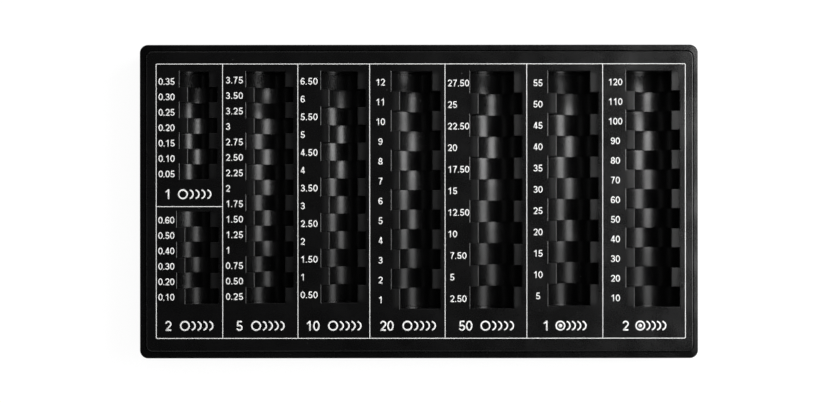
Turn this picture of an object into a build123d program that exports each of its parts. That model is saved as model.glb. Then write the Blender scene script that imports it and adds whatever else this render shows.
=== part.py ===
from build123d import *
import os

# A coin counting tray in black moulded plastic. A counting panel drops into a rebate in an open-bottomed
# case frame. Eight half-round troughs hang under the panel, one for each coin size. Every trough is a row
# of pockets that step left and right in turn, and each pocket holds one group of five coins on edge.
# Millimetres, +Z up, +X to the reader's right, +Y away from the reader. The origin is on the table,
# under the middle of the tray.

# Coins and their columns, from left to right. A column may hold two troughs, one behind the other.
# pockets: groups in the trough. bore_clearance: bore less coin, on the diameter. stack_play: pocket
# length less the thickness of its coins. label_width: printed flat to the left of the pockets.
# right_margin: flat to the right of them. back_gap: grid line to the first pocket. caption_height:
# last pocket to the grid line in front of it, where the trough has a line of its own.
coins_in_group = 5
one_cent = dict(name="1c", pockets=7, coin_diameter=16.25, coin_thickness=1.67, bore_clearance=0.75,
                stack_play=0.66, label_width=13.7, back_gap=4.3, caption_height=16.0)
two_cent = dict(name="2c", pockets=6, coin_diameter=18.75, coin_thickness=1.67, bore_clearance=0.65,
                stack_play=0.66, label_width=12.1, back_gap=2.8)
five_cent = dict(name="5c", pockets=15, coin_diameter=21.25, coin_thickness=1.67, bore_clearance=1.35,
                 stack_play=0.69, label_width=13.8, back_gap=4.3)
ten_cent = dict(name="10c", pockets=13, coin_diameter=19.75, coin_thickness=1.93, bore_clearance=1.35,
                stack_play=0.76, label_width=13.65, back_gap=4.3)
twenty_cent = dict(name="20c", pockets=12, coin_diameter=22.25, coin_thickness=2.14, bore_clearance=1.2,
                   stack_play=0.87, label_width=12.85, back_gap=4.3)
fifty_cent = dict(name="50c", pockets=11, coin_diameter=24.25, coin_thickness=2.38, bore_clearance=0.95,
                  stack_play=0.71, label_width=14.8, back_gap=4.3)
one_whole = dict(name="100c", pockets=11, coin_diameter=23.25, coin_thickness=2.33, bore_clearance=0.85,
                 stack_play=0.81, label_width=12.65, back_gap=4.3)
two_whole = dict(name="200c", pockets=12, coin_diameter=25.75, coin_thickness=2.20, bore_clearance=0.3,
                 stack_play=0.48, label_width=13.85, back_gap=4.3)
columns = [
    dict(troughs=[one_cent, two_cent], right_margin=2.45),
    dict(troughs=[five_cent], right_margin=2.7),
    dict(troughs=[ten_cent], right_margin=2.35),
    dict(troughs=[twenty_cent], right_margin=2.85),
    dict(troughs=[fifty_cent], right_margin=2.9),
    dict(troughs=[one_whole], right_margin=2.75),
    dict(troughs=[two_whole], right_margin=3.5),
]
pocket_shift = 4.9          # sideways step from one pocket to the next

# Printed grid
caption_zone = 17.3         # longest trough to the front grid line
grid_line = 0.38
grid_corner_radius = 0.8    # outside of the grid
ink_thickness = 0.08

# Case frame
border_left = 10.0          # outside of the tray to the middle of the grid line
border_right = 7.8
border_back = 11.45
border_front = 11.95
tray_height = 32.0
corner_radius = 4.8
skirt_wall = 2.4
flange_left = 4.3           # flange that shows around the panel, side by side
flange_right = 3.3
flange_back = 4.2
flange_front = 4.35
ledge_width = 3.3           # shelf that carries the panel, inside the flange
ledge_thickness = 2.0
joint_groove = 1.0          # groove in the ledge under the joint line
flange_fall = 0.21          # the flange slopes down to the outside by this much
slope_corner_radius = 0.8   # where that slope begins
flange_fillet = 0.4
skirt_chamfer = 0.5

# Counting panel
panel_thickness = 2.5
panel_step = 1.7            # panel face above the flange
panel_corner_radius = 3.2
panel_fillet = 0.45
joint_gap = 0.9             # joint line between panel and flange
slot_fillet = 0.6
rib_thickness = 1.4
rib_depth = 4.5

# Troughs
trough_wall = 1.6
rim_width = 1.6
rim_thickness = 1.5
tab_width = 9.0
tab_length = 5.8
stake_radius = 1.5
stake_clearance = 0.2
stake_head_radius = 2.4
stake_head_height = 1.0
stake_head_fillet = 0.6

# Screw towers, screws and feet
foot_radius = 5.0
foot_thickness = 4.0
foot_proud = 1.0            # foot below the edge of the skirt
foot_fillet = 0.5
foot_clearance = 0.15
seat_wall = 2.0
seat_inset = 9.6            # outside of the tray to the middle of a foot
seat_web = 2.0              # floor under a screw head
screw_shank_radius = 1.45
screw_length = 11.0
screw_head_radius = 2.8
screw_head_height = 1.9
screw_head_fillet = 0.8
screw_tip = 0.9
recess_width = 0.9
recess_length = 3.2
recess_depth = 1.1
screw_hole_clearance = 0.25
head_clearance = 0.4
thread_clearance = 0.15
tower_radius = 3.0
tower_clearance = 0.4
lug_width = 9.0
lug_height = 17.5           # underside of a middle lug above the table

overrun = 5.0               # how far a cutter passes the face it cuts

# Levels
panel_under = tray_height - panel_thickness
frame_top = tray_height - panel_step
ledge_under = panel_under - ledge_thickness
bore_axis = tray_height


def bore_radius(trough):
    return (trough["coin_diameter"] + trough["bore_clearance"]) / 2


def pocket_length(trough):
    return coins_in_group * trough["coin_thickness"] + trough["stack_play"]


def trough_length(trough):
    return trough["pockets"] * pocket_length(trough)


def column_width(column):
    """Grid line to grid line: the widest trough with its label sets it."""
    reach = max(t["label_width"] + 2 * bore_radius(t) + pocket_shift for t in column["troughs"])
    return reach + column["right_margin"]


# Plan sizes that follow from the coins
all_troughs = [trough for column in columns for trough in column["troughs"]]
single_troughs = [column["troughs"][0] for column in columns if len(column["troughs"]) == 1]
grid_width = sum(column_width(column) for column in columns)
grid_depth = max(t["back_gap"] + trough_length(t) for t in single_troughs) + caption_zone
tray_width = border_left + grid_width + border_right
tray_depth = border_back + grid_depth + border_front
panel_width = tray_width - flange_left - flange_right
panel_depth = tray_depth - flange_back - flange_front
panel_x = (flange_left - flange_right) / 2
panel_y = (flange_front - flange_back) / 2
grid_left = border_left - tray_width / 2
grid_back = tray_depth / 2 - border_back
grid_front = grid_back - grid_depth

# Places of the columns, the lines between them and the troughs
line_places = [grid_left]
divider_places = []
for column in columns:
    y_line = grid_back
    for trough in column["troughs"]:
        first_left = line_places[-1] + trough["label_width"]
        trough["middle"] = first_left + bore_radius(trough) + pocket_shift / 2
        trough["back"] = y_line - trough["back_gap"]
        trough["front"] = trough["back"] - trough_length(trough)
        if "caption_height" in trough:
            y_line = trough["front"] - trough["caption_height"]
            divider_places.append((line_places[-1], column_width(column), y_line))
    line_places.append(line_places[-1] + column_width(column))


def rounded_plate(width, depth, radius, low, high, x=0, y=0):
    """Plate with rounded corners between two levels, centred on the tray unless told otherwise."""
    outline = RectangleRounded(width, depth, radius)
    return Pos(x, y, low) * extrude(outline, high - low)


def upright(radius, low, high, x=0, y=0):
    return Pos(x, y, low) * extrude(Circle(radius), high - low)


def block(x_low, x_high, y_low, y_high, z_low, z_high):
    size = Box(x_high - x_low, y_high - y_low, z_high - z_low)
    return Pos((x_low + x_high) / 2, (y_low + y_high) / 2, (z_low + z_high) / 2) * size


def pocket_place(trough, index):
    """Middle of a pocket in X, and its back and front ends in Y. The first pocket steps to the left."""
    side = -1 if index % 2 == 0 else 1
    back = trough["back"] - index * pocket_length(trough)
    return trough["middle"] + side * pocket_shift / 2, back, back - pocket_length(trough)


def pocket_round(trough, index, grow):
    """Round bar of one pocket, grown by a wall all round."""
    x, back, front = pocket_place(trough, index)
    bar = Rot(90, 0, 0) * Cylinder(bore_radius(trough) + grow, back - front + 2 * grow)
    return Pos(x, (back + front) / 2, bore_axis) * bar


def pockets(trough, grow=0.0):
    bars = [pocket_round(trough, i, grow) for i in range(trough["pockets"])]
    return bars[0] + bars[1:]


def stake_places(trough):
    """Middle of each heat stake, one past each end of the trough, in line with its last pocket there."""
    back_x = pocket_place(trough, 0)[0]
    front_x = pocket_place(trough, trough["pockets"] - 1)[0]
    reach = trough_wall + tab_length - stake_head_radius - stake_clearance
    return [(back_x, trough["back"] + reach, 1), (front_x, trough["front"] - reach, -1)]


# Feet sit in the corners. Two more screws hold the middles of the long sides.
seat_x = tray_width / 2 - seat_inset
seat_y = tray_depth / 2 - seat_inset
corner_places = [(x, y) for x in (-seat_x, seat_x) for y in (-seat_y, seat_y)]
middle_column = len(columns) // 2
lug_x = line_places[middle_column] + columns[middle_column]["troughs"][0]["label_width"] / 2 - rim_width
lug_places = [(lug_x, -seat_y), (lug_x, seat_y)]

foot_top = foot_thickness
head_room_top = foot_top + screw_head_height + head_clearance
seat_top = head_room_top + seat_web
lug_top = lug_height + seat_web
seat_radius = foot_radius + foot_clearance + seat_wall


def case_frame():
    """Skirt with an outward flange and an inward ledge, foot seats in the corners and two lugs."""
    width = tray_width
    depth = tray_depth
    body = rounded_plate(width, depth, corner_radius, foot_proud, frame_top)
    top = body.faces().sort_by(Axis.Z)[-1]
    body = chamfer(top.edges(), corner_radius - slope_corner_radius, flange_fall, reference=top)
    walls = body.faces().group_by(Axis.Z)[1]
    body = fillet([wall.edges().sort_by(Axis.Z)[-1] for wall in walls], flange_fillet)
    body = chamfer(body.faces().sort_by(Axis.Z)[0].edges(), skirt_chamfer)
    inner_radius = corner_radius - skirt_wall
    body -= rounded_plate(width - 2 * skirt_wall, depth - 2 * skirt_wall, inner_radius,
                          foot_proud - overrun, ledge_under)
    body -= rounded_plate(panel_width - 2 * ledge_width, panel_depth - 2 * ledge_width, inner_radius,
                          ledge_under - overrun, frame_top + overrun, panel_x, panel_y)
    rebate = rounded_plate(panel_width + 2 * joint_gap, panel_depth + 2 * joint_gap,
                           panel_corner_radius + joint_gap, panel_under - joint_groove,
                           frame_top + overrun, panel_x, panel_y)
    body -= rebate - rounded_plate(panel_width, panel_depth, panel_corner_radius,
                                   panel_under - joint_groove, panel_under, panel_x, panel_y)
    inside = rounded_plate(width - skirt_wall, depth - skirt_wall, corner_radius - skirt_wall / 2,
                           foot_proud, ledge_under)
    seats = []
    for x, y in corner_places:
        x_side = 1 if x > 0 else -1
        y_side = 1 if y > 0 else -1
        seats.append(upright(seat_radius, foot_proud, seat_top, x, y))
        webs = [block(*sorted((x, x_side * width / 2)), y - seat_radius, y + seat_radius, foot_proud,
                      seat_top),
                block(x - seat_radius, x + seat_radius, *sorted((y, y_side * depth / 2)), foot_proud,
                      seat_top)]
        seats.extend(webs)
    for x, y in lug_places:
        y_side = 1 if y > 0 else -1
        lug = block(x - lug_width / 2, x + lug_width / 2, *sorted((y, y_side * depth / 2)), lug_height,
                    lug_top)
        seats.extend([lug, upright(lug_width / 2, lug_height, lug_top, x, y)])
    body += (seats[0] + seats[1:]) & inside
    for x, y in corner_places:
        body -= upright(foot_radius + foot_clearance, foot_proud - overrun, foot_top, x, y)
        body -= upright(screw_head_radius + head_clearance, foot_top, head_room_top, x, y)
    for x, y in corner_places + lug_places:
        body -= upright(screw_shank_radius + screw_hole_clearance, foot_proud, seat_top + overrun, x, y)
        body -= upright(screw_shank_radius + screw_hole_clearance, lug_height, lug_top, x, y)
        body -= upright(tower_radius + tower_clearance, lug_top, frame_top, x, y)
    return body


def ribs():
    """Stiffening ribs under the bars between the rows, midway between the rims and as long as the rows."""
    bars = []
    for left, right in zip(columns[:-1], columns[1:]):
        left_edge = max(t["middle"] + pocket_shift / 2 + bore_radius(t) for t in left["troughs"])
        right_edge = min(t["middle"] - pocket_shift / 2 - bore_radius(t) for t in right["troughs"])
        x = (left_edge + right_edge) / 2
        front = min(t["front"] for t in left["troughs"] + right["troughs"])
        back = left["troughs"][0]["back"]
        bars.append(block(x - rib_thickness / 2, x + rib_thickness / 2, front, back,
                          panel_under - rib_depth, panel_under))
    return bars


def counting_panel():
    """Plate with a stepped slot over every trough, ribs, screw towers and heat stakes underneath."""
    body = rounded_plate(panel_width, panel_depth, panel_corner_radius, panel_under, tray_height,
                         panel_x, panel_y)
    body = fillet(body.faces().sort_by(Axis.Z)[-1].edges(), panel_fillet)
    for trough in all_troughs:
        body -= pockets(trough)
    rims = [e for wire in body.faces().sort_by(Axis.Z)[-1].inner_wires() for e in wire.edges()]
    body = fillet(rims, slot_fillet)
    body += ribs()
    for x, y in corner_places:
        body += upright(tower_radius, seat_top, panel_under, x, y)
        body -= upright(screw_shank_radius + thread_clearance, seat_top, seat_top + screw_length, x, y)
    for x, y in lug_places:
        body += upright(tower_radius, lug_top, panel_under, x, y)
        body -= upright(screw_shank_radius + thread_clearance, lug_top, panel_under, x, y)
    for trough in all_troughs:
        for x, y, _ in stake_places(trough):
            head_top = panel_under - rim_thickness
            head = upright(stake_head_radius, head_top - stake_head_height, head_top, x, y)
            head = fillet(head.faces().sort_by(Axis.Z)[0].edges(), stake_head_fillet)
            body += upright(stake_radius, head_top, panel_under, x, y) + head
    return body


def coin_trough(trough):
    """Half-round stepped trough with a rim under the panel and a staked tab at each end."""
    shell = pockets(trough, trough_wall)
    half_rim = bore_radius(trough) + trough_wall + rim_width
    rim_low = panel_under - rim_thickness
    rims = []
    for i in range(trough["pockets"]):
        x, back, front = pocket_place(trough, i)
        rims.append(block(x - half_rim, x + half_rim, front - trough_wall, back + trough_wall, rim_low,
                          panel_under))
    for x, y, side in stake_places(trough):
        end = trough["back"] if side > 0 else trough["front"]
        tip = end + side * (trough_wall + tab_length)
        rims.append(block(x - tab_width / 2, x + tab_width / 2, *sorted((end, tip)), rim_low,
                          panel_under))
    shell += rims
    reach = half_rim + pocket_shift
    ends = trough_wall + tab_length
    shell &= block(trough["middle"] - reach, trough["middle"] + reach, trough["front"] - ends,
                   trough["back"] + ends, 0, panel_under)
    shell -= pockets(trough)
    for x, y, _ in stake_places(trough):
        shell -= upright(stake_radius + stake_clearance, rim_low, panel_under, x, y)
    return shell


def screw(x, y, head_low):
    """Pan-head self-tapping screw, head down, with a cross recess."""
    head_top = head_low + screw_head_height
    head = upright(screw_head_radius, head_low, head_top)
    head = fillet(head.faces().sort_by(Axis.Z)[0].edges(), screw_head_fillet)
    shank_top = head_top + screw_length
    shank = upright(screw_shank_radius, head_top, shank_top)
    shank = chamfer(shank.faces().sort_by(Axis.Z)[-1].edges(), screw_tip)
    body = head + shank
    for angle in (0, 90):
        slot = Box(recess_length, recess_width, 2 * recess_depth)
        body -= Pos(0, 0, head_low) * Rot(0, 0, angle) * slot
    return Pos(x, y, 0) * body


def panel_screws():
    corner = [screw(x, y, seat_top - seat_web - screw_head_height) for x, y in corner_places]
    middle = [screw(x, y, lug_height - screw_head_height) for x, y in lug_places]
    return Compound(children=corner + middle)


def rubber_foot(x, y):
    """Round pad pressed into its seat, standing proud of the skirt."""
    body = upright(foot_radius, 0, foot_thickness, x, y)
    return fillet(body.faces().sort_by(Axis.Z)[0].edges(), foot_fillet)


def printed_grid():
    """White lines around and between the columns."""
    half = grid_line / 2
    high = tray_height + ink_thickness
    x_middle = grid_left + grid_width / 2
    y_middle = (grid_front + grid_back) / 2
    frame = rounded_plate(grid_width + grid_line, grid_depth + grid_line, grid_corner_radius, tray_height,
                          high, x_middle, y_middle)
    frame -= rounded_plate(grid_width - grid_line, grid_depth - grid_line, grid_corner_radius - grid_line,
                           tray_height, high, x_middle, y_middle)
    lines = [block(x - half, x + half, grid_front, grid_back, tray_height, high)
             for x in line_places[1:-1]]
    for x, width, y in divider_places:
        lines.append(block(x, x + width, y - half, y + half, tray_height, high))
    return frame + lines


parts = {
    "case_frame": case_frame(),
    "counting_panel": counting_panel(),
    "panel_screws": panel_screws(),
    "printed_grid": printed_grid(),
}
for trough in all_troughs:
    parts["trough_" + trough["name"]] = coin_trough(trough)
foot_names = ["foot_front_left", "foot_back_left", "foot_front_right", "foot_back_right"]
for foot_name, (x, y) in zip(foot_names, corner_places):
    parts[foot_name] = rubber_foot(x, y)

os.makedirs("parts", exist_ok=True)
for name, shape in parts.items():
    export_step(shape, f"parts/{name}.step")
print(f"tray {tray_width:.1f} x {tray_depth:.1f} x {tray_height:.1f} mm")
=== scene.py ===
import math

import bpy
from mathutils import Matrix, Vector


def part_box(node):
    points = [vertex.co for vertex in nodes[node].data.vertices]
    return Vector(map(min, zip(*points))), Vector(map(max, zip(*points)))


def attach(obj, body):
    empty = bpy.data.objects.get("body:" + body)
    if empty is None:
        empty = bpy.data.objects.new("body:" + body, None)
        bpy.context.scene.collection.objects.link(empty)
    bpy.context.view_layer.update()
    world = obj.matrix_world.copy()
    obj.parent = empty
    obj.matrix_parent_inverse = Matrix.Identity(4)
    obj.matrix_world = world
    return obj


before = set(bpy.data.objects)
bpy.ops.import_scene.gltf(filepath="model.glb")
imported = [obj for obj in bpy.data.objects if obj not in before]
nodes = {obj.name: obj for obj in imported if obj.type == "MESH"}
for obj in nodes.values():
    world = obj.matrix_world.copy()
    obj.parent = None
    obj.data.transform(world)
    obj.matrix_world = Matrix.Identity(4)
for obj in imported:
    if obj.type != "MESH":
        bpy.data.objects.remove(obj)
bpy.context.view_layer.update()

# Coin counting tray, seen from straight above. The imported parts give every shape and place.
# This script gives them their finishes, prints the scales and captions on the panel, and lights the lot.
# Metres, +X to the reader's right, +Y away from the reader, +Z up.

print("frame loaded:", len(nodes), "nodes")


# Finishes

def newMaterial(name, shaderSettings):
    material = bpy.data.materials.new(name)
    material.use_nodes = True
    shader = material.node_tree.nodes["Principled BSDF"]
    for socket, value in shaderSettings.items():
        shader.inputs[socket].default_value = value
    return material, material.node_tree, shader


def objectPlace(tree):
    return tree.nodes.new("ShaderNodeTexCoord").outputs["Object"]


def noiseOn(tree, place, scale, detail, rough=0.5):
    noise = tree.nodes.new("ShaderNodeTexNoise")
    noise.inputs["Scale"].default_value = scale
    noise.inputs["Detail"].default_value = detail
    noise.inputs["Roughness"].default_value = rough
    tree.links.new(place, noise.inputs["Vector"])
    return noise.outputs["Fac"]


def axesOf(tree, vector):
    split = tree.nodes.new("ShaderNodeSeparateXYZ")
    tree.links.new(vector, split.inputs["Vector"])
    return split.outputs


def rangeOf(tree, source, fromLow, fromHigh, toLow, toHigh):
    # straight-line change of one range of values into another, clamped at both ends
    remap = tree.nodes.new("ShaderNodeMapRange")
    remap.inputs["From Min"].default_value = fromLow
    remap.inputs["From Max"].default_value = fromHigh
    remap.inputs["To Min"].default_value = toLow
    remap.inputs["To Max"].default_value = toHigh
    tree.links.new(source, remap.inputs["Value"])
    return remap.outputs["Result"]


def maths(tree, operation, first, *others):
    # one node for each further value, or a single node where the operation takes one value
    for other in others or (0,):
        node = tree.nodes.new("ShaderNodeMath")
        node.operation = operation
        for socket, value in zip(node.inputs, (first, other)):
            if isinstance(value, bpy.types.NodeSocket):
                tree.links.new(value, socket)
            else:
                socket.default_value = value
        first = node.outputs["Value"]
    return first


def mixColours(tree, amount, first, second):
    mix = tree.nodes.new("ShaderNodeMix")
    mix.data_type = "RGBA"
    tree.links.new(amount, mix.inputs["Factor"])
    for socket, colour in ((mix.inputs["A"], first), (mix.inputs["B"], second)):
        if isinstance(colour, bpy.types.NodeSocket):
            tree.links.new(colour, socket)
        else:
            socket.default_value = (*colour, 1)
    return mix.outputs["Result"]


def bumpOn(tree, height, distance, under=None):
    bump = tree.nodes.new("ShaderNodeBump")
    bump.inputs["Distance"].default_value = distance
    tree.links.new(height, bump.inputs["Height"])
    if under is not None:
        tree.links.new(under, bump.inputs["Normal"])
    return bump.outputs["Normal"]


# the pockets within the box of their trough
troughEnd = 0.0074                # wall and tab past the last pocket at each end
troughRim = 0.0032                # wall and rim beside the pockets
tabFade = 0.0025                  # the rubbed look of the tabs fades out over this


def tabsOn(tree, place):
    # 1 over a row of pockets, where the panel's tabs reach in between them, fading to 0 at its edge
    axes = axesOf(tree, place)
    inside = []
    for name in nodes:
        if not name.startswith("trough_"):
            continue
        low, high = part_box(name)
        reach = []
        for axis, start, end, edge in (("X", low.x, high.x, troughRim), ("Y", low.y, high.y, troughEnd)):
            half = (end - start) / 2 - edge
            off = maths(tree, "SUBTRACT", axes[axis], (start + end) / 2)
            reach.append(rangeOf(tree, maths(tree, "ABSOLUTE", off), half - tabFade, half, 1, 0))
        inside.append(maths(tree, "MULTIPLY", *reach))
    return maths(tree, "MAXIMUM", *inside)


noiseSpan = (0.3, 0.7)            # nearly all values of a noise lie between these
wearSpan = (0.45, 0.75)           # where plain finishes begin to look worn, and are fully so


def mouldedPlastic(name, look):
    # black plastic with a fine grain on a slightly wavy face, smudges from handling and a few specks of dust
    material, tree, shader = newMaterial(name, {"Specular IOR Level": look["specular"]})
    place = objectPlace(tree)
    smudge = noiseOn(tree, place, **look["smudges"])
    tone = rangeOf(tree, smudge, *look["wornSpan"], 0, 1)
    dust = rangeOf(tree, noiseOn(tree, place, **look["specks"]), *look["speckSpan"], 0, look["speckAmount"])
    plain = mixColours(tree, tone, look["colour"], look["worn"])
    tree.links.new(mixColours(tree, dust, plain, look["dust"]), shader.inputs["Base Color"])

    grain = noiseOn(tree, place, **look["grain"])
    gloss = maths(tree, "ADD",
                  rangeOf(tree, smudge, *noiseSpan, look["roughness"] - look["spread"],
                          look["roughness"] + look["spread"]),
                  rangeOf(tree, grain, *noiseSpan, -look["grainGloss"], look["grainGloss"]))
    if "rubbed" in look:
        gloss = maths(tree, "ADD", gloss, maths(tree, "MULTIPLY", tabsOn(tree, place), look["rubbed"]))
    if "jointFloor" in look:
        # the bottom of the joint was never textured: it is smooth there and looks black
        height = maths(tree, "SUBTRACT", axesOf(tree, place)["Z"], look["jointFloor"])
        off = maths(tree, "GREATER_THAN", maths(tree, "ABSOLUTE", height), look["jointReach"])
        gloss = maths(tree, "MULTIPLY", gloss, off)
    tree.links.new(gloss, shader.inputs["Roughness"])

    waves = bumpOn(tree, noiseOn(tree, place, **look["waves"]), look["waveDepth"])
    tree.links.new(bumpOn(tree, grain, look["grainDepth"], waves), shader.inputs["Normal"])
    if "polish" in look:
        # the mould was polished lengthwise, which draws a highlight out across the trough
        across = tree.nodes.new("ShaderNodeCombineXYZ")
        across.inputs["X"].default_value = 1
        tree.links.new(across.outputs["Vector"], shader.inputs["Tangent"])
        shader.inputs["Anisotropic"].default_value = look["polish"]
    return material


# noise scales count per metre, depths and heights are in metres
plasticLook = {
    "colour": (0.0009, 0.0009, 0.001), "worn": (0.0019, 0.0019, 0.0021), "wornSpan": (0.35, 0.7),
    "smudges": {"scale": 38, "detail": 5, "rough": 0.6},
    "dust": (0.12, 0.12, 0.12), "specks": {"scale": 620, "detail": 1, "rough": 0.4},
    "speckSpan": (0.8, 0.83), "speckAmount": 0.6,
    "roughness": 0.28, "spread": 0.03, "specular": 0.75,
    "grain": {"scale": 2400, "detail": 2}, "grainDepth": 0.000006, "grainGloss": 0.02,
    "waves": {"scale": 45, "detail": 1}, "waveDepth": 0.0007,
}
panelLook = dict(plasticLook, rubbed=0.15)            # coins have dulled the tabs between the pockets
# jointFloor is the height of the bottom of the joint around the panel, give or take jointReach
frameLook = dict(plasticLook, roughness=0.27, specular=0.6, jointFloor=0.0285, jointReach=0.00002)
troughLook = dict(plasticLook, colour=(0.0004, 0.0004, 0.0005), worn=(0.001, 0.001, 0.0011),
                  roughness=0.2, specular=0.42, speckAmount=0.3, grain={"scale": 1300, "detail": 2},
                  grainGloss=0.05, waveDepth=0.0003, polish=0.95)


def plainFinish(name, look):
    # one colour that drifts a little towards a worn one
    material, tree, shader = newMaterial(name, look["shader"])
    wear = noiseOn(tree, objectPlace(tree), **look["wear"])
    tone = rangeOf(tree, wear, *wearSpan, 0, 1)
    tree.links.new(mixColours(tree, tone, look["colour"], look["worn"]), shader.inputs["Base Color"])
    if "grainDepth" in look:
        tree.links.new(bumpOn(tree, wear, look["grainDepth"]), shader.inputs["Normal"])
    return material


inkLook = {"colour": (0.92, 0.92, 0.91), "worn": (0.84, 0.84, 0.83), "wear": {"scale": 260, "detail": 4},
           "shader": {"Roughness": 0.5, "Specular IOR Level": 0.3}}
rubberLook = {"colour": (0.012, 0.012, 0.012), "worn": (0.03, 0.03, 0.03),
              "wear": {"scale": 400, "detail": 4}, "grainDepth": 0.00002,
              "shader": {"Roughness": 0.8, "Specular IOR Level": 0.3}}
steelLook = {"colour": (0.42, 0.42, 0.43), "worn": (0.3, 0.3, 0.31), "wear": {"scale": 900, "detail": 4},
             "shader": {"Roughness": 0.34, "Metallic": 1}}

framePlastic = mouldedPlastic("framePlastic", frameLook)
panelPlastic = mouldedPlastic("panelPlastic", panelLook)
troughPlastic = mouldedPlastic("troughPlastic", troughLook)
whiteInk = plainFinish("whiteInk", inkLook)
footRubber = plainFinish("footRubber", rubberLook)
screwSteel = plainFinish("screwSteel", steelLook)


def finishNode(name, material):
    part = nodes[name]
    if not part.material_slots:
        part.data.materials.append(material)
    for slot in part.material_slots:
        slot.material = material


for name in nodes:
    if name.startswith("trough_"):
        finishNode(name, troughPlastic)
    elif name.startswith("foot_"):
        finishNode(name, footRubber)
finishNode("case_frame", framePlastic)
finishNode("counting_panel", panelPlastic)
finishNode("printed_grid", whiteInk)
finishNode("panel_screws", screwSteel)
print("finishes set")


# Printed scales and captions

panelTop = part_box("counting_panel")[1].z
gridLow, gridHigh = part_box("printed_grid")
inkThickness = gridHigh.z - gridLow.z

print("drawing the figures")
figureStyle = {
    "stroke": 0.15,               # this and the next three in figure heights
    "width": 0.65,
    "advance": 0.715,             # from one figure to the next
    "pointAdvance": 0.29,
    "arcStep": 12,                # degrees
    "thickness": 0.9,             # of the thickness of the grid's lines
    "liftStep": 0.02,             # of a stroke's thickness: each stroke lies a hair above the last one
}
# Centre lines of the figures, in figure heights. Two numbers are a point of a straight line. Six are an
# arc: its middle, its half width and half height, and the angles where it starts and ends. A full turn makes
# a closed ring.
figureStrokes = {
    "0": [[(0.325, 0.5, 0.25, 0.425, 0, 360)]],
    "1": [[(0.40, 0), (0.40, 1)], [(0.40, 0.9), (0.10, 0.70)]],
    "2": [[(0.325, 0.68, 0.24, 0.245, 170, -30), (0.36, 0.34), (0.11, 0.09)],
          [(0.05, 0.075), (0.60, 0.075)]],
    "3": [[(0.315, 0.715, 0.21, 0.21, 165, -90), (0.24, 0.505)], [(0.315, 0.29, 0.25, 0.215, 90, -165)]],
    "4": [[(0.45, 0), (0.45, 1)], [(0.42, 0.95), (0.07, 0.27)], [(0.03, 0.265), (0.64, 0.265)]],
    "5": [[(0.13, 0.925), (0.57, 0.925)], [(0.18, 0.95), (0.125, 0.44)],
          [(0.32, 0.31, 0.25, 0.235, 140, -165)]],
    "6": [[(0.335, 0.30, 0.235, 0.225, 0, 360)], [(0.355, 0.44, 0.275, 0.485, 185, 42)]],
    "7": [[(0.05, 0.925), (0.61, 0.925)], [(0.56, 0.90), (0.40, 0.62), (0.295, 0.34), (0.25, 0)]],
    "8": [[(0.325, 0.72, 0.205, 0.205, 0, 360)], [(0.325, 0.29, 0.25, 0.215, 0, 360)]],
    "9": [[(0.315, 0.70, 0.235, 0.225, 0, 360)], [(0.295, 0.56, 0.275, 0.485, 5, -138)]],
    ".": [[(0.10, 0), (0.10, 0.15)]],
}


def isRing(stroke):
    return len(stroke[0]) == 6 and stroke[0][5] - stroke[0][4] == 360


def strokePoints(stroke):
    points = []
    for spot in stroke:
        if len(spot) == 2:
            points.append(spot)
            continue
        x, y, halfWidth, halfHeight, start, end = spot
        count = max(2, round(abs(end - start) / figureStyle["arcStep"]))
        for i in range(count if isRing(stroke) else count + 1):
            angle = math.radians(start + (end - start) * i / count)
            points.append((x + halfWidth * math.cos(angle), y + halfHeight * math.sin(angle)))
    return points


def inkStrokes(strokes, width, lift=0):
    # flat bands along the centre lines, joined into one piece of thickness 1
    bands = []
    for order, stroke in enumerate(strokes):
        bpy.ops.object.select_all(action="DESELECT")
        bpy.ops.curve.primitive_bezier_curve_add(location=(0, 0, 0))
        band = bpy.context.object
        band.data.splines.clear()
        points = strokePoints(stroke)
        line = band.data.splines.new("POLY")
        line.points.add(len(points) - 1)
        line.use_cyclic_u = isRing(stroke)
        for point, (x, y) in zip(line.points, points):
            point.co = (x, y, order * lift, 1)
            point.tilt = math.pi / 2      # lays the band flat
        band.data.twist_mode = "Z_UP"
        band.data.extrude = width / 2
        bpy.ops.object.convert(target="MESH")
        bands.append(bpy.context.object)
    for band in bands:
        band.select_set(True)
    bpy.context.view_layer.objects.active = bands[0]
    bpy.ops.object.join()
    inked = bpy.context.object
    solidify = inked.modifiers.new("ink", "SOLIDIFY")
    solidify.thickness = 1
    solidify.offset = 0
    bpy.ops.object.modifier_apply(modifier=solidify.name)
    return inked


# modelled once each, one unit high, and copied to their places
figures = {sign: inkStrokes(strokes, figureStyle["stroke"], figureStyle["liftStep"])
           for sign, strokes in figureStrokes.items()}


def placedCopy(master, size, x, y):
    copy = master.copy()
    copy.data = master.data.copy()
    bpy.context.collection.objects.link(copy)
    copy.data.transform(Matrix.LocRotScale((x, y, panelTop + inkThickness / 2), None,
                                           (size, size, inkThickness * figureStyle["thickness"])))
    return copy


def advanceOf(sign):
    return figureStyle["pointAdvance" if sign == "." else "advance"]


def wordsWidth(words):
    return sum(advanceOf(sign) for sign in words) - figureStyle["advance"] + figureStyle["width"]


def printText(words, height, x, y, align, spread=0):
    # x is the middle or the left side of the words, y the middle of a figure
    if align == "middle":
        x -= wordsWidth(words) * height / 2
    printed = []
    for sign in words:
        printed.append(placedCopy(figures[sign], height, x, y - height / 2))
        x += advanceOf(sign) * height + spread
    return printed


print("printing the scales")
scalePrint = {
    "digitHeight": 0.0040,
    "drop": 0.0006,               # middle of a value below the middle of its pocket
}
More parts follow.
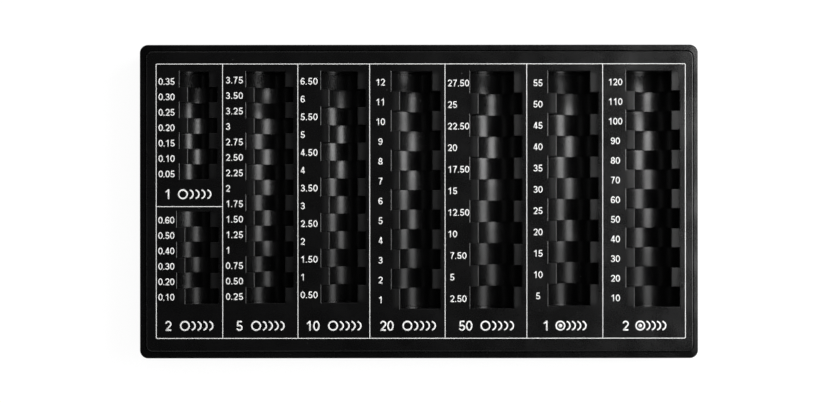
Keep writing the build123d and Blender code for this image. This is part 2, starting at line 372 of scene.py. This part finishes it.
# One entry for each trough: the pockets and the value of the coins in each, where the values stand from the
# trough's left side and how they line up there, then the number, place and width of the caption.
columnPrint = {
    "1c": {"pockets": 7, "value": 0.05, "x": -0.00445, "align": "middle", "drop": 0.0014,
           "number": "1", "captionX": -0.0057, "captionWidth": 0.0275,
           "lineRise": 0.0770},   # the line in front of this caption, above the front line of the grid
    "2c": {"pockets": 6, "value": 0.1, "x": -0.00305, "align": "middle",
           "number": "2", "captionX": -0.0038, "captionWidth": 0.0283},
    "5c": {"pockets": 15, "value": 0.25, "x": -0.0088, "align": "left",
           "spread": 0.0002,      # more room between the figures
           "number": "5", "captionX": -0.0028, "captionWidth": 0.0284},
    "10c": {"pockets": 13, "value": 0.5, "x": -0.00895, "align": "left", "spread": 0.00018,
            "number": "10", "captionX": -0.00588, "captionWidth": 0.0326},
    "20c": {"pockets": 12, "value": 1, "x": -0.0034, "align": "middle",
            "number": "20", "captionX": -0.00378, "captionWidth": 0.0328},
    "50c": {"pockets": 11, "value": 2.5, "x": -0.0101, "align": "left", "spread": 0.00008,
            "indent": 0.0013,     # values under 10 stand further right
            "number": "50", "captionX": -0.00373, "captionWidth": 0.0324},
    "100c": {"pockets": 11, "value": 5, "x": -0.00295, "align": "middle",
             "number": "1", "captionX": -0.00025, "captionWidth": 0.0257},
    "200c": {"pockets": 12, "value": 10, "x": -0.0033, "align": "middle",
             "number": "2", "captionX": 0.00073, "captionWidth": 0.0258},
}
mergeWithin = 0.000001            # points of a print closer than this become one


def joinPieces(things, name):
    bpy.ops.object.select_all(action="DESELECT")
    for thing in things:
        thing.select_set(True)
    bpy.context.view_layer.objects.active = things[0]
    bpy.ops.object.join()
    joined = bpy.context.object
    joined.name = name
    joined.data.name = name
    joined.data.materials.clear()
    joined.data.materials.append(whiteInk)
    bpy.ops.object.mode_set(mode="EDIT")
    bpy.ops.mesh.select_all(action="SELECT")
    bpy.ops.mesh.remove_doubles(threshold=mergeWithin)
    bpy.ops.mesh.normals_make_consistent(inside=False)
    bpy.ops.object.mode_set(mode="OBJECT")
    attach(joined, "root")


def valueText(value):
    return f"{value:.2f}".removesuffix(".00")


for coin, row in columnPrint.items():
    low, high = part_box("trough_" + coin)
    step = (high.y - low.y - 2 * troughEnd) / row["pockets"]
    labels = []
    for place in range(row["pockets"]):
        value = (row["pockets"] - place) * row["value"]
        x = low.x + row["x"] + (row.get("indent", 0) if value < 10 else 0)
        y = high.y - troughEnd - (place + 0.5) * step - row.get("drop", scalePrint["drop"])
        labels += printText(valueText(value), scalePrint["digitHeight"], x, y, row["align"],
                            row.get("spread", 0))
    joinPieces(labels, "scale_" + coin)

print("printing the captions")
captionPrint = {
    "height": 0.0059,
    "rise": 0.0075,               # middle of a caption above the line in front of it
}
rollSign = {
    "coins": 5,                   # a row of coins seen a little from the side, the first one in full
    "radius": 0.0025,             # centre line of a ring
    "stroke": 0.0009,
    "arcHalf": 78,                # degrees of each further coin to either side of its middle
    "pitch": 0.00345,             # from one coin to the next
    "tightPitch": 0.0031,         # for the coins of two metals
    "twoMetals": ("100c", "200c"),
    "coreRadius": 0.0011,         # their filled core
}


def rollOfCoins(pitch):
    radius = rollSign["radius"]
    rings = [[(0, 0, radius, radius, 0, 360)]]
    for place in range(1, rollSign["coins"]):
        rings.append([(place * pitch, 0, radius, radius, -rollSign["arcHalf"], rollSign["arcHalf"])])
    return inkStrokes(rings, rollSign["stroke"])


coinRolls = {spacing: rollOfCoins(rollSign[spacing]) for spacing in ("pitch", "tightPitch")}
# a ring half as wide as the core, with a stroke that fills it
coreRing = [[(0, 0, rollSign["coreRadius"] / 2, rollSign["coreRadius"] / 2, 0, 360)]]
coinCore = inkStrokes(coreRing, rollSign["coreRadius"])

for coin, row in columnPrint.items():
    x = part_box("trough_" + coin)[0].x + row["captionX"]
    y = gridLow.y + row.get("lineRise", 0) + captionPrint["rise"]
    pieces = printText(row["number"], captionPrint["height"], x, y, "left")
    spacing = "tightPitch" if coin in rollSign["twoMetals"] else "pitch"
    lastX = x + row["captionWidth"] - rollSign["radius"] - rollSign["stroke"] / 2
    ringX = lastX - (rollSign["coins"] - 1) * rollSign[spacing]
    pieces.append(placedCopy(coinRolls[spacing], 1, ringX, y))
    if spacing == "tightPitch":
        pieces.append(placedCopy(coinCore, 1, ringX, y))
    joinPieces(pieces, "caption_" + coin)

for master in (*figures.values(), *coinRolls.values(), coinCore):
    bpy.data.objects.remove(master)


# Floor, studio light and camera

mirrorRays = ("Is Glossy Ray", "Is Transmission Ray")
floorLook = {
    "size": 6,
    "colour": (0.9, 0.9, 0.9),    # what it throws back on the tray
    "glow": 0.9,                  # what the camera and shiny things see of it, which makes it white
    "shade": (0.15, 0.15, 0.15),  # what they see of the light on it, with a faint shadow beside the tray
}


def whiteFloor():
    bpy.ops.object.select_all(action="DESELECT")
    bpy.ops.mesh.primitive_plane_add(size=floorLook["size"], location=(0, 0, 0))
    floor = bpy.context.object
    floor.name = "floor"
    material = bpy.data.materials.new("floorPaper")
    material.use_nodes = True
    tree = material.node_tree
    tree.nodes.clear()
    output = tree.nodes.new("ShaderNodeOutputMaterial")
    paper = tree.nodes.new("ShaderNodeBsdfDiffuse")
    paper.inputs["Color"].default_value = (*floorLook["colour"], 1)
    faint = tree.nodes.new("ShaderNodeBsdfDiffuse")
    faint.inputs["Color"].default_value = (*floorLook["shade"], 1)
    glow = tree.nodes.new("ShaderNodeEmission")
    glow.inputs["Strength"].default_value = floorLook["glow"]
    seen = tree.nodes.new("ShaderNodeAddShader")
    tree.links.new(faint.outputs["BSDF"], seen.inputs[0])
    tree.links.new(glow.outputs["Emission"], seen.inputs[1])
    choose = tree.nodes.new("ShaderNodeMixShader")
    light = tree.nodes.new("ShaderNodeLightPath")
    seeing = maths(tree, "MAXIMUM", *[light.outputs[ray] for ray in ("Is Camera Ray", *mirrorRays)])
    tree.links.new(seeing, choose.inputs["Fac"])
    tree.links.new(paper.outputs["BSDF"], choose.inputs[1])
    tree.links.new(seen.outputs["Shader"], choose.inputs[2])
    tree.links.new(choose.outputs["Shader"], output.inputs["Surface"])
    floor.data.materials.append(material)


room = {
    "ambient": 0.03,              # weak light from all sides, on dull things only
    "sweepTop": 0.05,             # shiny things see the white backdrop up to here, a dark room above it
}
# Shiny things also see a dim ceiling overhead, and the dark outline of the camera against it. Both are ovals
# in the x and y of the direction from which the light comes.
ceiling = {"middle": (0, 0), "half": (0.32, 0.32), "soft": 0.2, "glow": 0.055}
cameraOutline = {"middle": (-0.045, -0.15), "half": (0.06, 0.2), "soft": 0.4}
# The room has pale walls in front and behind, and dark ones on the left and right. A pale wall begins
# between the "turn" values of the direction's y, and ends overhead between the "top" values of its z.
paleWalls = {"turn": (0.35, 0.65), "top": (0.45, 0.75), "glow": 0.25}
wholeHeight = 1000                # so large that the direction's z doesn't count in an oval


def pastOval(tree, direction, oval):
    # 0 inside an oval of the sky and 1 outside it, with a soft edge
    shift = tree.nodes.new("ShaderNodeVectorMath")
    shift.operation = "SUBTRACT"
    tree.links.new(direction, shift.inputs[0])
    shift.inputs[1].default_value = (*oval["middle"], 0)
    squeeze = tree.nodes.new("ShaderNodeVectorMath")
    squeeze.operation = "DIVIDE"
    tree.links.new(shift.outputs["Vector"], squeeze.inputs[0])
    squeeze.inputs[1].default_value = (*oval["half"], wholeHeight)
    length = tree.nodes.new("ShaderNodeVectorMath")
    length.operation = "LENGTH"
    tree.links.new(squeeze.outputs["Vector"], length.inputs[0])
    return rangeOf(tree, length.outputs["Value"], 1 - oval["soft"], 1 + oval["soft"], 0, 1)


def studioWorld():
    world = bpy.data.worlds.new("studio")
    bpy.context.scene.world = world
    world.use_nodes = True
    tree = world.node_tree
    tree.nodes.clear()
    output = tree.nodes.new("ShaderNodeOutputWorld")
    sky = tree.nodes.new("ShaderNodeBackground")
    sky.inputs["Color"].default_value = (1, 1, 1, 1)
    light = tree.nodes.new("ShaderNodeLightPath")
    direction = objectPlace(tree)
    axes = axesOf(tree, direction)
    upward = maths(tree, "ABSOLUTE", axes["Z"])
    sweep = maths(tree, "LESS_THAN", upward, room["sweepTop"])
    lit = maths(tree, "SUBTRACT", 1, pastOval(tree, direction, ceiling))
    overhead = maths(tree, "MULTIPLY", lit, pastOval(tree, direction, cameraOutline), ceiling["glow"])
    inTurn = rangeOf(tree, maths(tree, "ABSOLUTE", axes["Y"]), *paleWalls["turn"], 0, 1)
    underTop = rangeOf(tree, upward, *paleWalls["top"], 1, 0)
    around = maths(tree, "MULTIPLY", inTurn, underTop, paleWalls["glow"])
    shiny = maths(tree, "MAXIMUM", *[light.outputs[ray] for ray in mirrorRays])
    mirrored = maths(tree, "MULTIPLY", shiny, maths(tree, "MAXIMUM", sweep, overhead, around))
    dull = maths(tree, "MULTIPLY", maths(tree, "SUBTRACT", 1, shiny), room["ambient"])
    strength = maths(tree, "MAXIMUM", light.outputs["Is Camera Ray"], mirrored, dull)
    tree.links.new(strength, sky.inputs["Strength"])
    tree.links.new(sky.outputs["Background"], output.inputs["Surface"])


def softBox(name, place, aim, width, height, power, mirrored=True):
    bpy.ops.object.select_all(action="DESELECT")
    bpy.ops.object.light_add(type="AREA", location=place)
    lamp = bpy.context.object
    lamp.name = name
    lamp.data.shape = "RECTANGLE"
    lamp.data.size = width
    lamp.data.size_y = height
    lamp.data.energy = power
    lamp.rotation_euler = (Vector(aim) - Vector(place)).to_track_quat("-Z", "Y").to_euler()
    lamp.visible_camera = False
    lamp.visible_glossy = mirrored


# A lamp low on the right, in bands from the back to the front: where each begins and ends, and its radiance.
keyLight = {"x": 0.78, "z": 0.585, "height": 0.9,
            "bands": [(0.135, 0.03, 29), (0.03, -0.05, 18), (-0.05, -0.2, 9)]}
# One behind the tray, and one overhead that shiny things don't mirror.
weakLamps = {
    "backLight": {"place": (0.66, 0.44, 0.8), "width": 0.3, "height": 0.4, "power": 4.5},
    "topLight": {"place": (0, 0, 1.6), "width": 2.2, "height": 2.2, "power": 22, "mirrored": False},
}

whiteFloor()
studioWorld()
for band, (back, front, radiance) in enumerate(keyLight["bands"]):
    y = (back + front) / 2
    power = radiance * (back - front) * keyLight["height"]
    softBox(f"keyLight{band}", (keyLight["x"], y, keyLight["z"]), (0, y, panelTop), back - front,
            keyLight["height"], power)
for name, lamp in weakLamps.items():
    softBox(name, aim=(0, 0, 0), **lamp)
print("floor, room and lamps set")

photoView = {
    "distance": 0.78,             # camera above the panel
    "widthSeen": 0.4906,          # width of the picture at the panel
    "sideShift": 0.00035,
    "roll": -0.04,                # degrees
    "sensor": 36,                 # millimetres
}
bpy.ops.object.camera_add(location=(photoView["sideShift"], 0, panelTop + photoView["distance"]),
                          rotation=(0, 0, math.radians(photoView["roll"])))
camera = bpy.context.object
camera.name = "photoCamera"
camera.data.sensor_width = photoView["sensor"]
camera.data.lens = photoView["sensor"] * photoView["distance"] / photoView["widthSeen"]
bpy.context.scene.camera = camera
bpy.context.scene.view_settings.view_transform = "Standard"
print("camera set")
